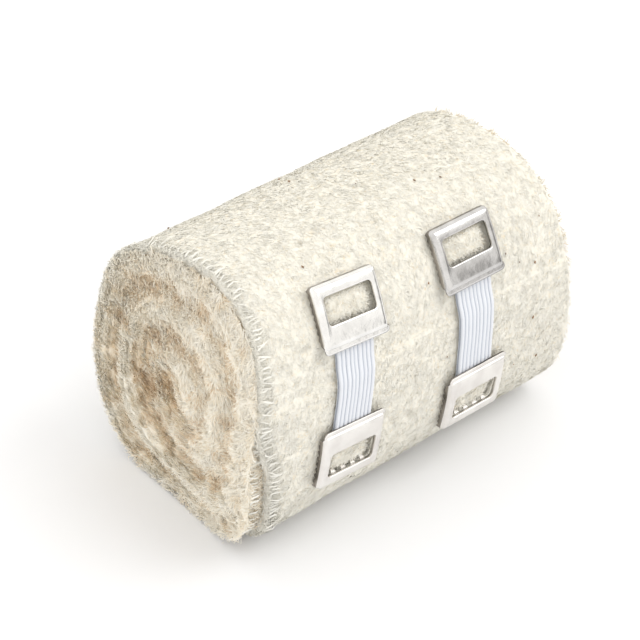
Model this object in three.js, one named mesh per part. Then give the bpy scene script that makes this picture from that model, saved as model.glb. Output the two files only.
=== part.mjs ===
// A crepe bandage roll lying on its side, its free end held by two elastic clips.
// Millimetres, Z up. X runs along the roll, from the spiral end that faces the viewer
// to the far end. The clips are on the -Y side. The roll rests on a small flat.
import * as THREE from "three";

// Driving dimensions of the roll
const CLOTH_WIDTH = 76.5;
const ROLL_HALF_WIDTH = 26.8;
const ROLL_HALF_HEIGHT = 28.4;
const ROLL_SQUARENESS = 2.75;
const REST_FLAT_SINK = 0.9;
const TURN_THICKNESS = 1.6;
const LAST_TURN_STEP = 0.7;
const STEP_FADE_POWER = 6;
const CLOTH_END_ANGLE = 160;

// How the soft section leaves its rounded square. Angles are in degrees from +Y towards +Z.
const SECTION_WAVES = [
  { waves: 2, height: 0.8, crest: -45 },
  { waves: 3, height: 0.8, crest: -17 },
];

// How far each end's edge lies off a flat cut, as the turns slid along each other
const NEAR_END_WAVES = [
  { waves: 1, height: 2.5, crest: 68 },
  { waves: 2, height: 1.5, crest: 97 },
  { waves: 3, height: 0.6, crest: 0 },
];
const FAR_END_WAVES = [
  { waves: 1, height: 1.0, crest: 240 },
  { waves: 3, height: 0.7, crest: -52 },
];

// The last turn stands back from the spiral end for a way below the cloth's free end
const SET_BACK = 4.0;
const SET_BACK_REST = 0.4;
const SET_BACK_SPANS = { full: 30, fade: 80, gone: 150 };
const EDGE_ROUND = 0.6;

// The main turns show on the ends as one wide spiral ridge, with a pit beside the core
const MAIN_TURN_PITCH = 9;
const RIDGE_HEIGHT = 1.7;
const RIDGE_START = 120;
const PIT_DEPTH = 2.6;
const PIT_RADIUS = 6;
const PIT_PLACE = { y: 5, z: -3.5 };
const RIM_CALM_RADIUS = 20;
const FAR_END_RELIEF = 0.8;

// Driving dimensions of a clip's stamped head
const HEAD_WIDTH = 14.7;
const HEAD_LENGTH = 12.8;
const HEAD_CORNER = 0.9;
const LEAST_CORNER = 0.2;
const HEAD_TOP = 2.2;
const SHEET = 0.45;
const DRAWN_WALL = 0.405;
const SIDE_LEAN = 0.35;
const SHOULDER_DROP = 0.25;
const BEVEL = 0.55;
const LIP_LENGTH = 0.9;
const SKIRT_FROM_LIP = 1.6;
const HEAD_BEND_RADIUS = 60;
const WINDOW_WIDTH = 10.9;
const WINDOW_LENGTH = 5.3;
const WINDOW_CORNER = 0.8;
const WINDOW_EDGE_DROP = 0.4;
const WINDOW_WALL_DROP = 0.8;
const OUTER_BAR = 2.5;

// Driving dimensions of a clip's elastic
const ELASTIC_WIDTH = 8.8;
const ELASTIC_THICKNESS = 0.9;
const ELASTIC_RIBS = 9;
const RIB_HEIGHT = 0.22;
const ELASTIC_TUCK = 1.9;

// The gap that pieces which touch keep, a little more under the elastic as its faces are chords
const GAP = 0.3;
const ELASTIC_GAP = 0.34;

// The clips' outline climbs the step at the cloth's free end within this many degrees
const RAMP_SPAN = 9;

// Where each clip lies: the middle of its elastic, how far it is turned, how far it is stretched.
// Its heads are racked: their bars turn less than their sides, which follow the elastic.
const CLIPS = [
  {
    name: "clip_1", along: -17.4, belowEnd: 1.1, elasticLength: 15.3,
    turn: 8.1, barTurn: 4.3, sideTurn: 9.3,
  },
  {
    name: "clip_2", along: 12.6, belowEnd: 2.6, elasticLength: 17.7,
    turn: 2.3, barTurn: 0.5, sideTurn: 5.5,
  },
];

// Mesh fineness
const SECTION_STEPS = 64;
const FREE_END_STEP = 0.12;
const END_ROWS = 14;
const SIDE_ROWS = 9;
const CORNER_STEPS = 4;
const EDGE_STEPS = 5;
const ELASTIC_STEPS = 16;
const ELASTIC_BASE_STEPS = 6;
const OUTLINE_SAMPLES = 720;
const TANGENT_SAMPLES = 3;

const FULL_TURN = 360;
const radians = THREE.MathUtils.degToRad;
const mix = THREE.MathUtils.lerp;
const smooth = THREE.MathUtils.smoothstep;

const COLOURS = {
  cloth: new THREE.MeshStandardMaterial({ color: 0xeeead8, roughness: 0.95, metalness: 0 }),
  elastic: new THREE.MeshStandardMaterial({ color: 0xe6e8ec, roughness: 0.7, metalness: 0 }),
  metal: new THREE.MeshStandardMaterial({ color: 0xc9c6c0, roughness: 0.25, metalness: 1 }),
};

function waveSum(waves, angle, reach = 1) {
  let total = 0;
  for (const wave of waves) {
    const swing = Math.cos(radians(wave.waves * (angle - wave.crest)));
    total += wave.height * swing * reach ** wave.waves;
  }
  return total;
}

// How far round from the cloth's free end an angle is, from 0 just below it to 1 just above it
function turnShare(angle) {
  const past = THREE.MathUtils.euclideanModulo(angle - CLOTH_END_ANGLE, FULL_TURN);
  return past / FULL_TURN;
}

// The section's radius before it is pressed flat: a rounded square with soft waves
function sectionRadius(angle) {
  const across = Math.abs(Math.cos(radians(angle))) / ROLL_HALF_WIDTH;
  const up = Math.abs(Math.sin(radians(angle))) / ROLL_HALF_HEIGHT;
  const square = (across ** ROLL_SQUARENESS + up ** ROLL_SQUARENESS) ** (-1 / ROLL_SQUARENESS);
  return square + waveSum(SECTION_WAVES, angle);
}

// The section's lowest point, sunk a little into the surface, sets how high its middle lies
function middleHeight() {
  let lowest = 0;
  for (let angle = 0; angle < FULL_TURN; angle += 1) {
    lowest = Math.min(lowest, sectionRadius(angle) * Math.sin(radians(angle)));
  }
  return -lowest - REST_FLAT_SINK;
}
const MIDDLE_HEIGHT = middleHeight();

// A point of the section as [y, z], pressed flat where the roll rests
function sectionPoint(angle, raise) {
  const radius = sectionRadius(angle) + raise;
  const y = radius * Math.cos(radians(angle));
  const z = MIDDLE_HEIGHT + radius * Math.sin(radians(angle));
  return [y, Math.max(z, 0)];
}

// Each turn lies on the one below, so the section winds outwards by one step in a turn
function rollRaise(share) {
  return LAST_TURN_STEP * (0.5 - share);
}

// The angles round the roll, with one more just above the step at the cloth's free end
function roundAngles() {
  const angles = [];
  for (let i = 0; i < SECTION_STEPS; i += 1) {
    const share = i / SECTION_STEPS;
    angles.push({ angle: CLOTH_END_ANGLE + share * FULL_TURN, share });
  }
  const lastShare = 1 - FREE_END_STEP / SECTION_STEPS;
  angles.push({ angle: CLOTH_END_ANGLE + lastShare * FULL_TURN, share: lastShare });
  return angles;
}

// How far the last turn's edge stands back, at a share of a turn from the cloth's free end
function setBack(share) {
  const past = share * FULL_TURN;
  const { full, fade, gone } = SET_BACK_SPANS;
  const depth = smooth(past, 0, full) * (1 - smooth(past, fade, gone));
  return mix(SET_BACK_REST, SET_BACK, depth);
}

// How far an end's face is sunk at a radius and an angle: a spiral ridge, and a pit by the core
function endSink(radius, angle) {
  const phase = FULL_TURN * radius / MAIN_TURN_PITCH + angle - RIDGE_START;
  const wave = 0.5 + 0.5 * Math.cos(radians(phase));
  const calm = 1 - smooth(radius, RIM_CALM_RADIUS, ROLL_HALF_WIDTH);
  const ridge = RIDGE_HEIGHT * wave * calm * smooth(radius, 0, MAIN_TURN_PITCH);
  const y = radius * Math.cos(radians(angle)) - PIT_PLACE.y;
  const z = radius * Math.sin(radians(angle)) - PIT_PLACE.z;
  const pit = PIT_DEPTH * Math.exp(-((Math.hypot(y, z) / PIT_RADIUS) ** 2));
  return ridge + pit;
}

// A ring of the roll's skin, worked out at each angle by a rule that gives its x and its reach
// from the middle, from 0 to 1. The step at the cloth's free end fades towards the middle.
function ring(round, rule) {
  return round.map(({ angle, share }) => {
    const { x, reach } = rule(angle, share);
    const [y, z] = sectionPoint(angle, rollRaise(share) * reach ** STEP_FADE_POWER);
    return new THREE.Vector3(x, y * reach, mix(MIDDLE_HEIGHT, z, reach));
  });
}

function nearEndX(angle, reach) {
  return -CLOTH_WIDTH / 2 + waveSum(NEAR_END_WAVES, angle, reach);
}

function farEndX(angle, reach) {
  return CLOTH_WIDTH / 2 + waveSum(FAR_END_WAVES, angle, reach);
}

// The rings of the skin, from the spiral end's middle to the far end's middle
function rollRows() {
  const round = roundAngles();
  const innerReach = 1 - TURN_THICKNESS / ROLL_HALF_WIDTH;
  const roundedReach = 1 - EDGE_ROUND / ROLL_HALF_WIDTH;
  const rows = [];
  for (let i = 1; i <= END_ROWS; i += 1) {
    const reach = innerReach * i / END_ROWS;
    const radius = reach * ROLL_HALF_WIDTH;
    rows.push(ring(round, (angle) => ({ x: nearEndX(angle, reach) + endSink(radius, angle), reach })));
  }
  const turnEdge = (angle, share) => nearEndX(angle, 1) + setBack(share);
  rows.push(ring(round, (angle, share) => ({ x: turnEdge(angle, share), reach: innerReach })));
  rows.push(ring(round, (angle, share) => ({ x: turnEdge(angle, share), reach: roundedReach })));
  for (let i = 0; i <= SIDE_ROWS; i += 1) {
    rows.push(ring(round, (angle, share) => {
      const start = turnEdge(angle, share) + EDGE_ROUND;
      const end = farEndX(angle, 1) - EDGE_ROUND;
      return { x: mix(start, end, i / SIDE_ROWS), reach: 1 };
    }));
  }
  rows.push(ring(round, (angle) => ({ x: farEndX(angle, 1), reach: roundedReach })));
  for (let i = END_ROWS; i >= 1; i -= 1) {
    const reach = innerReach * i / END_ROWS;
    const sink = (angle) => FAR_END_RELIEF * endSink(reach * ROLL_HALF_WIDTH, angle);
    rows.push(ring(round, (angle) => ({ x: farEndX(angle, reach) - sink(angle), reach })));
  }
  return rows;
}

// Joins rows of points into a skin, each row a closed loop of the same length
function skinFaces(rowCount, rowLength, closeRows = false) {
  const faces = [];
  const lastRow = closeRows ? rowCount : rowCount - 1;
  for (let row = 0; row < lastRow; row += 1) {
    const next = (row + 1) % rowCount;
    for (let i = 0; i < rowLength; i += 1) {
      const j = (i + 1) % rowLength;
      const a = row * rowLength + i;
      const b = row * rowLength + j;
      const c = next * rowLength + i;
      const d = next * rowLength + j;
      faces.push(a, b, d, a, d, c);
    }
  }
  return faces;
}

function meshFrom(name, points, faces, material) {
  const geometry = new THREE.BufferGeometry().setFromPoints(points);
  geometry.setIndex(faces);
  geometry.computeVertexNormals();
  const mesh = new THREE.Mesh(geometry, material);
  mesh.name = name;
  return mesh;
}

// The wound roll: one closed skin with a fan at each end's middle
function bandageRoll() {
  const rows = rollRows();
  const length = rows[0].length;
  const points = rows.flat();
  const faces = skinFaces(rows.length, length);
  const half = CLOTH_WIDTH / 2;
  const nearMiddle = points.length;
  points.push(new THREE.Vector3(endSink(0, 0) - half, 0, MIDDLE_HEIGHT));
  const farMiddle = points.length;
  points.push(new THREE.Vector3(half - FAR_END_RELIEF * endSink(0, 0), 0, MIDDLE_HEIGHT));
  const lastRow = (rows.length - 1) * length;
  for (let i = 0; i < length; i += 1) {
    const j = (i + 1) % length;
    faces.push(nearMiddle, j, i);
    faces.push(farMiddle, lastRow + i, lastRow + j);
  }
  return meshFrom("bandage_roll", points, faces, COLOURS.cloth);
}

// The outline that the clips lie on: the section with the step at the free end eased into a ramp
function carrierOutline() {
  const samples = [];
  let length = 0;
  for (let i = 0; i <= OUTLINE_SAMPLES; i += 1) {
    const angle = i * FULL_TURN / OUTLINE_SAMPLES;
    const ramp = smooth(angle, CLOTH_END_ANGLE - RAMP_SPAN, CLOTH_END_ANGLE);
    const high = rollRaise(turnShare(angle));
    const low = LAST_TURN_STEP * (ramp - 0.5);
    const [y, z] = sectionPoint(angle, Math.max(high, low));
    if (i > 0) {
      const before = samples[i - 1];
      length += Math.hypot(y - before.y, z - before.z);
    }
    samples.push({ angle, y, z, length });
  }
  return samples;
}
const CARRIER = carrierOutline();

function lengthAtAngle(angle) {
  return CARRIER.find((sample) => sample.angle >= angle).length;
}

// The carrier's point, outward normal and downward tangent at a length below the cloth's free end
function carrierAt(below) {
  const wanted = lengthAtAngle(CLOTH_END_ANGLE) + below;
  const i = CARRIER.findIndex((sample) => sample.length >= wanted);
  const [before, after] = [CARRIER[i - 1], CARRIER[i]];
  const share = (wanted - before.length) / (after.length - before.length);
  const [back, ahead] = [CARRIER[i - 1 - TANGENT_SAMPLES], CARRIER[i + TANGENT_SAMPLES]];
  const down = new THREE.Vector3(0, ahead.y - back.y, ahead.z - back.z).normalize();
  const outward = new THREE.Vector3(0, down.z, -down.y);
  const y = mix(before.y, after.y, share);
  const z = mix(before.z, after.z, share);
  return { point: new THREE.Vector3(0, y, z), down, outward };
}

// A point on the wrapped cloth: across and down in the clip's own turned axes, and off the cloth
function onCloth(clip, across, down, height) {
  const turn = radians(clip.turn);
  const x = clip.along + across * Math.cos(turn) - down * Math.sin(turn);
  const below = clip.belowEnd + down * Math.cos(turn) + across * Math.sin(turn);
  const place = carrierAt(below);
  const point = place.point.clone().addScaledVector(place.outward, height);
  point.x = x;
  return point;
}

// A head is stiff: a plate that is bent a little, tangent to the cloth at its middle
function headFrame(clip, down) {
  const bars = radians(clip.barTurn);
  const sides = radians(clip.sideTurn);
  const origin = onCloth(clip, 0, down, 0);
  const place = carrierAt(clip.belowEnd + down * Math.cos(radians(clip.turn)));
  const along = new THREE.Vector3(1, 0, 0);
  return (across, away, height) => {
    const x = across * Math.cos(bars) - away * Math.sin(sides);
    const fall = away * Math.cos(sides) + across * Math.sin(bars);
    const bend = fall * fall / (2 * HEAD_BEND_RADIUS);
    return origin.clone()
      .addScaledVector(along, x)
      .addScaledVector(place.down, fall)
      .addScaledVector(place.outward, height - bend);
  };
}

// A rounded rectangle as a closed loop of [across, away] points
function roundedLoop(left, right, start, end, corner) {
  const corners = [
    { x: right - corner, y: end - corner, from: 0 },
    { x: left + corner, y: end - corner, from: 90 },
    { x: left + corner, y: start + corner, from: 180 },
    { x: right - corner, y: start + corner, from: 270 },
  ];
  const loop = [];
  corners.forEach((place, index) => {
    const next = corners[(index + 1) % corners.length];
    for (let i = 0; i <= CORNER_STEPS; i += 1) {
      const angle = radians(place.from + 90 * i / CORNER_STEPS);
      loop.push([place.x + corner * Math.cos(angle), place.y + corner * Math.sin(angle)]);
    }
    const [x, y] = loop[loop.length - 1];
    const turnTo = radians(next.from);
    const nextX = next.x + corner * Math.cos(turnTo);
    const nextY = next.y + corner * Math.sin(turnTo);
    for (let i = 1; i < EDGE_STEPS; i += 1) {
      loop.push([mix(x, nextX, i / EDGE_STEPS), mix(y, nextY, i / EDGE_STEPS)]);
    }
  });
  return loop;
}

// The head's outline drawn in by a side inset, and by its own inset on the side of the elastic
function outerLoop(inset, elasticInset) {
  const halfWidth = HEAD_WIDTH / 2 - inset;
  const halfLength = HEAD_LENGTH / 2;
  const corner = Math.max(HEAD_CORNER - inset, LEAST_CORNER);
  return roundedLoop(-halfWidth, halfWidth, -halfLength + inset, halfLength - elasticInset, corner);
}

function windowLoop(growth) {
  const halfWidth = WINDOW_WIDTH / 2 + growth;
  const start = -HEAD_LENGTH / 2 + OUTER_BAR;
  const corner = WINDOW_CORNER + growth;
  return roundedLoop(-halfWidth, halfWidth, start - growth, start + WINDOW_LENGTH + growth, corner);
}

// The skirt reaches the cloth on three sides and stays up over the elastic
function skirtFoot(away) {
  const lipStart = HEAD_LENGTH / 2 - LIP_LENGTH;
  const lift = smooth(away, lipStart - SKIRT_FROM_LIP, lipStart);
  return mix(GAP, HEAD_TOP - SHEET, lift);
}

// One stamped head as a sheet: over the outside, into the window and back along the underside
function headRows() {
  const under = HEAD_TOP - SHEET;
  const level = (height) => () => height;
  return [
    { loop: outerLoop(0, 0), height: skirtFoot },
    { loop: outerLoop(SIDE_LEAN, LIP_LENGTH), height: level(HEAD_TOP - SHOULDER_DROP) },
    { loop: outerLoop(SIDE_LEAN + BEVEL, LIP_LENGTH + BEVEL), height: level(HEAD_TOP) },
    { loop: windowLoop(BEVEL), height: level(HEAD_TOP) },
    { loop: windowLoop(0), height: level(HEAD_TOP - WINDOW_EDGE_DROP) },
    { loop: windowLoop(0), height: level(HEAD_TOP - WINDOW_WALL_DROP) },
    { loop: windowLoop(BEVEL), height: level(under) },
    { loop: outerLoop(DRAWN_WALL + SIDE_LEAN, LIP_LENGTH + DRAWN_WALL), height: level(under) },
    { loop: outerLoop(DRAWN_WALL, DRAWN_WALL), height: skirtFoot },
  ];
}

// A head on one end of a clip: it points up the roll or down it, with its lip over the elastic
function clipHead(name, clip, side) {
  const middle = side * (clip.elasticLength / 2 + HEAD_LENGTH / 2);
  const place = headFrame(clip, middle);
  const rows = headRows();
  const points = [];
  for (const { loop, height } of rows) {
    for (const [across, away] of loop) {
      points.push(place(side * across, -side * away, height(away)));
    }
  }
  const faces = skinFaces(rows.length, rows[0].loop.length, true);
  return meshFrom(name, points, faces, COLOURS.metal);
}

// The elastic's section as a closed loop of [across, height] points, ribbed on top
function elasticSection() {
  const half = ELASTIC_WIDTH / 2;
  const steps = ELASTIC_RIBS * 2;
  const valley = ELASTIC_GAP + ELASTIC_THICKNESS - RIB_HEIGHT;
  const loop = [];
  for (let i = 0; i <= steps; i += 1) {
    const crest = i % 2 === 1;
    loop.push([mix(-half, half, i / steps), crest ? valley + RIB_HEIGHT : valley]);
  }
  for (let i = 0; i <= ELASTIC_BASE_STEPS; i += 1) {
    loop.push([mix(half, -half, i / ELASTIC_BASE_STEPS), ELASTIC_GAP]);
  }
  return loop;
}

// The elastic lies on the cloth and runs a little way under the lip at each end
function clipElastic(name, clip) {
  const section = elasticSection();
  const half = clip.elasticLength / 2 + ELASTIC_TUCK;
  const points = [];
  for (let i = 0; i <= ELASTIC_STEPS; i += 1) {
    const down = mix(half, -half, i / ELASTIC_STEPS);
    for (const [across, height] of section) {
      points.push(onCloth(clip, across, down, height));
    }
  }
  const faces = skinFaces(ELASTIC_STEPS + 1, section.length);
  const lastRow = ELASTIC_STEPS * section.length;
  const outline = section.map(([across, height]) => new THREE.Vector2(across, height));
  for (const [a, b, c] of THREE.ShapeUtils.triangulateShape(outline, [])) {
    faces.push(a, b, c);
    faces.push(lastRow + a, lastRow + c, lastRow + b);
  }
  return meshFrom(name, points, faces, COLOURS.elastic);
}

function addClip(group, clip) {
  group.add(clipHead(`${clip.name}_upper_head`, clip, -1));
  group.add(clipElastic(`${clip.name}_elastic`, clip));
  group.add(clipHead(`${clip.name}_lower_head`, clip, 1));
}

// The whole part, shifted so that its origin is at the bottom middle of its box
function bandage() {
  const group = new THREE.Group();
  group.add(bandageRoll());
  for (const clip of CLIPS) {
    addClip(group, clip);
  }
  const box = new THREE.Box3().setFromObject(group);
  const middle = box.getCenter(new THREE.Vector3());
  group.position.set(-middle.x, -middle.y, -box.min.z);
  return group;
}

export default bandage();
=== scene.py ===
# A crepe bandage roll held by two elastic clips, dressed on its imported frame.
# Lengths in the sections on shapes are millimetres, and each mesh is made in metres.
import math

import bpy
import numpy as np
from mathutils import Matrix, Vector, noise


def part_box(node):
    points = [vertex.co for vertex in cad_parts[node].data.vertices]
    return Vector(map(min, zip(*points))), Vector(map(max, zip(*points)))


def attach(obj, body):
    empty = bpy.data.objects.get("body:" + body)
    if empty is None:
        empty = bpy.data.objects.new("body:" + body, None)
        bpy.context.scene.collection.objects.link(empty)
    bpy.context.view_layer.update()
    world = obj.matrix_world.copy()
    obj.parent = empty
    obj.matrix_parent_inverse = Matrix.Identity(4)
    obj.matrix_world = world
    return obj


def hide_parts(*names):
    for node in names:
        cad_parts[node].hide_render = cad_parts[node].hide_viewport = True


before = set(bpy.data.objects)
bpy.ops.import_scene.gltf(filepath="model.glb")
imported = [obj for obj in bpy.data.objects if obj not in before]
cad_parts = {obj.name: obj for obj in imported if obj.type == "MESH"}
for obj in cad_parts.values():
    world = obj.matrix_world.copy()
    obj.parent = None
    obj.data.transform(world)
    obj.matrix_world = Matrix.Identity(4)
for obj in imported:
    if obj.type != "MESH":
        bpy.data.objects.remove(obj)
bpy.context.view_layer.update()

MM = 0.001
RANDOM = np.random.default_rng(20)
ALONG = np.array((1.0, 0.0, 0.0))

# Driving dimensions of the roll, as in the part
HALF_LENGTH = 76.5 / 2
ROLL_HALF_WIDTH = 26.8
ROLL_HALF_HEIGHT = 28.4
ROLL_SQUARENESS = 2.75
REST_FLAT_SINK = 0.9
TURN_THICKNESS = 1.6
LAST_TURN_STEP = 0.7
CLOTH_END_ANGLE = 160.0
SECTION_WAVES = ((2, 0.8, -45.0), (3, 0.8, -17.0))
NEAR_END_WAVES = ((1, 2.5, 68.0), (2, 1.5, 97.0), (3, 0.6, 0.0))
FAR_END_WAVES = ((1, 1.0, 240.0), (3, 0.7, -52.0))
SET_BACK = 4.0
SET_BACK_REST = 0.4
SET_BACK_FULL, SET_BACK_FADE, SET_BACK_GONE = 30.0, 80.0, 150.0
EDGE_ROUND = 0.6
MAIN_TURN_PITCH = 9.0
RIDGE_HEIGHT = 1.7
RIDGE_START = 120.0
PIT_DEPTH = 2.6
PIT_RADIUS = 6.0
PIT_Y, PIT_Z = 5.0, -3.5
RIM_CALM_RADIUS = 20.0
FAR_END_RELIEF = 0.8
INNER_REACH = 1 - TURN_THICKNESS / ROLL_HALF_WIDTH
ROUNDED_REACH = 1 - EDGE_ROUND / ROLL_HALF_WIDTH

# What the cloth shows beyond the part: its fine turns and its uneven skin
FINE_TURN_PITCH = 1.65
FINE_TURN_DEPTH = 0.35
SKIN_INSET = 0.2
SOFT_STEP_SPAN = 3.0
STEP_FADE_POWER = 6
STEP_ANGLE = 0.5
LUMP_SIZE, LUMP_HEIGHT = 9.0, 0.3
GRAIN_SIZE, GRAIN_HEIGHT = 1.7, 0.06

# Driving dimensions of the clips, as in the part
GAP = 0.3
ELASTIC_GAP = 0.34
HEAD_WIDTH = 14.7
HEAD_LENGTH = 12.8
HEAD_CORNER = 0.9
LEAST_CORNER = 0.2
HEAD_TOP = 2.2
SHEET = 0.45
DRAWN_WALL = 0.405
SIDE_LEAN = 0.35
LIP_LENGTH = 0.9
SKIRT_FROM_LIP = 1.6
HEAD_BEND_RADIUS = 60.0
WINDOW_WIDTH = 10.9
WINDOW_LENGTH = 5.3
WINDOW_CORNER = 0.8
WINDOW_WALL_DROP = 0.8
OUTER_BAR = 2.5
ELASTIC_WIDTH = 8.8
ELASTIC_THICKNESS = 0.9
ELASTIC_RIBS = 9
ELASTIC_TUCK = 1.9
CLIPS = (
    {"name": "clip_1", "along": -17.4, "below_end": 1.1, "elastic": 15.3,
     "turn": 8.1, "bar_turn": 4.3, "side_turn": 9.3},
    {"name": "clip_2", "along": 12.6, "below_end": 2.6, "elastic": 17.7,
     "turn": 2.3, "bar_turn": 0.5, "side_turn": 5.5},
)

# The camera of the photograph, which is 640 pixels wide
CAMERA_AZIMUTH = -40.0
CAMERA_ELEVATION = 38.0
CAMERA_DISTANCE = 0.4146
CAMERA_TARGET = Vector((0.72, 1.98, 25.3)) * MM
CAMERA_LENS = 118.1
IMAGE_PIXELS = 640
TARGET_RIGHT_PIXELS = 7.6
TARGET_UP_PIXELS = 2.9


# Shape of the roll

def smooth(value, low, high):
    share = np.clip((value - low) / (high - low), 0.0, 1.0)
    return share * share * (3 - 2 * share)


def wave_sum(waves, angle, reach=1.0):
    total = 0.0
    for count, height, crest in waves:
        total = total + height * np.cos(np.radians(count * (angle - crest))) * reach ** count
    return total


def section_radius(angle):
    across = np.abs(np.cos(np.radians(angle))) / ROLL_HALF_WIDTH
    up = np.abs(np.sin(np.radians(angle))) / ROLL_HALF_HEIGHT
    square = (across ** ROLL_SQUARENESS + up ** ROLL_SQUARENESS) ** (-1 / ROLL_SQUARENESS)
    return square + wave_sum(SECTION_WAVES, angle)


def middle_height():
    angle = np.arange(0.0, 360.0)
    return -np.min(section_radius(angle) * np.sin(np.radians(angle))) - REST_FLAT_SINK


MIDDLE_HEIGHT = middle_height()


def section_point(angle, raised):
    """A point of the section as y and z, pressed flat where the roll rests."""
    radius = section_radius(angle) + raised
    y = radius * np.cos(np.radians(angle))
    z = MIDDLE_HEIGHT + radius * np.sin(np.radians(angle))
    return y, np.maximum(z, 0.0)


def turn_share(angle):
    """How far round from the cloth's free end an angle is, from 0 below it to 1 above it."""
    return np.mod(angle - CLOTH_END_ANGLE, 360.0) / 360.0


def roll_raise(share):
    return LAST_TURN_STEP * (0.5 - share)


def soft_raise(angle):
    """The winding's rise, with the step at the cloth's free end pressed into a short ramp."""
    ramp = smooth(np.mod(angle, 360.0), CLOTH_END_ANGLE - SOFT_STEP_SPAN, CLOTH_END_ANGLE)
    low = np.where(np.mod(angle, 360.0) > CLOTH_END_ANGLE, -1.0, LAST_TURN_STEP * (ramp - 0.5))
    return np.maximum(roll_raise(turn_share(angle)), low)


def set_back(share):
    past = share * 360.0
    painted_recess_shade = smooth(past, 0.0, SET_BACK_FULL) * (1 - smooth(past, SET_BACK_FADE, SET_BACK_GONE))
    return SET_BACK_REST + (SET_BACK - SET_BACK_REST) * painted_recess_shade


def near_end_x(angle, reach):
    return -HALF_LENGTH + wave_sum(NEAR_END_WAVES, angle, reach)


def far_end_x(angle, reach):
    return HALF_LENGTH + wave_sum(FAR_END_WAVES, angle, reach)


def main_ridge(radius, angle):
    phase = 360.0 * radius / MAIN_TURN_PITCH + angle - RIDGE_START
    calm = 1 - smooth(radius, RIM_CALM_RADIUS, ROLL_HALF_WIDTH)
    return (0.5 + 0.5 * np.cos(np.radians(phase))) * calm * smooth(radius, 0.0, MAIN_TURN_PITCH)


def pit(radius, angle):
    """The pit beside the core, from 0 to 1 at its middle."""
    y = radius * np.cos(np.radians(angle)) - PIT_Y
    z = radius * np.sin(np.radians(angle)) - PIT_Z
    return np.exp(-(y * y + z * z) / PIT_RADIUS ** 2)


def end_sink(radius, angle):
    """How far an end's face is sunk: a spiral ridge, and a pit by the core."""
    return RIDGE_HEIGHT * main_ridge(radius, angle) + PIT_DEPTH * pit(radius, angle)


def fine_turns(radius, angle):
    """The groove between each fine turn and the next, from 0 on a turn to 1 in the groove."""
    phase = 360.0 * radius / FINE_TURN_PITCH + angle
    return (0.5 + 0.5 * np.cos(np.radians(phase))) ** 2


def frame_shift():
    """The part stands on the middle of its box, so its shift is read from the roll's own box."""
    angle = CLOTH_END_ANGLE + np.arange(0.0, 360.0, 0.5)
    y, _ = section_point(angle, roll_raise(turn_share(angle)))
    low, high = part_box("bandage_roll")
    near = np.min(near_end_x(angle, 1.0))
    far = np.max(far_end_x(angle, 1.0))
    shift_x = (low[0] + high[0]) / 2 / MM - (near + far) / 2
    shift_y = (low[1] + high[1]) / 2 / MM - (y.min() + y.max()) / 2
    return np.array((shift_x, shift_y, 0.0))


SHIFT = frame_shift()


def noise_at(points, size, seed):
    """Smooth noise from -1 to 1 at each point, with lumps of a size."""
    offset = Vector((seed * 17.3, seed * 5.1, seed * 9.7))
    return np.array([noise.noise(Vector(p) / size + offset) for p in points])


def mesh_piece(name, points, faces, material, smooth_shaded=True):
    """A mesh object in the frame from millimetre points and triangles or quads."""
    mesh = bpy.data.meshes.new(name)
    points = np.array(points, dtype=float)
    points[:, 2] = np.maximum(points[:, 2], 0.0)
    faces = np.asarray(faces, dtype=np.int32)
    count, sides = faces.shape
    mesh.vertices.add(len(points))
    mesh.vertices.foreach_set("co", ((points + SHIFT) * MM).astype(np.float32).ravel())
    mesh.loops.add(count * sides)
    mesh.loops.foreach_set("vertex_index", faces.ravel())
    mesh.polygons.add(count)
    mesh.polygons.foreach_set("loop_start", np.arange(0, count * sides, sides, dtype=np.int32))
    mesh.polygons.foreach_set("use_smooth", np.full(count, smooth_shaded))
    mesh.update(calc_edges=True)
    mesh.materials.append(material)
    piece = bpy.data.objects.new(name, mesh)
    bpy.context.scene.collection.objects.link(piece)
    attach(piece, "root")
    return piece


def add_attribute(piece, name, values):
    layer = piece.data.attributes.new(name, "FLOAT", "POINT")
    layer.data.foreach_set("value", np.asarray(values, dtype=np.float32))


def skin_faces(rows, length, closed_rows=False):
    """Quads that join rows of points, each row a closed loop."""
    row = np.arange(rows if closed_rows else rows - 1)[:, None]
    step = np.arange(length)[None, :]
    following = (row + 1) % rows
    beside = (step + 1) % length
    quad = (row * length + step, row * length + beside, following * length + beside,
            following * length + step)
    return np.stack(np.broadcast_arrays(*quad), axis=-1).reshape(-1, 4)


# Materials

def new_material(name):
    material = bpy.data.materials.new(name)
    material.use_nodes = True
    nodes = material.node_tree.nodes
    shader = nodes["Principled BSDF"]
    return material, nodes, material.node_tree.links, shader


def add_noise(nodes, links, scale_and_detail):
    """Noise in the piece's own metres, so its scale is in lumps a metre."""
    place = nodes.new("ShaderNodeTexCoord")
    texture = nodes.new("ShaderNodeTexNoise")
    texture.inputs["Scale"].default_value, texture.inputs["Detail"].default_value = scale_and_detail
    links.new(place.outputs["Object"], texture.inputs["Vector"])
    return texture


def add_ramp(nodes, links, source, stops):
    ramp = nodes.new("ShaderNodeValToRGB")
    links.new(source, ramp.inputs["Fac"])
    elements = ramp.color_ramp.elements
    while len(elements) < len(stops):
        elements.new(0.5)
    for element, (position, colour) in zip(elements, stops):
        element.position = position
        element.color = (*colour, 1.0)
    return ramp


def add_bump(nodes, links, shader, source, distance):
    bump = nodes.new("ShaderNodeBump")
    bump.inputs["Distance"].default_value = distance
    bump.inputs["Strength"].default_value = 1.0
    links.new(source, bump.inputs["Height"])
    links.new(bump.outputs["Normal"], shader.inputs["Normal"])


def add_range(nodes, links, source, from_range, to_range):
    node = nodes.new("ShaderNodeMapRange")
    node.inputs["From Min"].default_value, node.inputs["From Max"].default_value = from_range
    node.inputs["To Min"].default_value, node.inputs["To Max"].default_value = to_range
    links.new(source, node.inputs["Value"])
    return node


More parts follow.
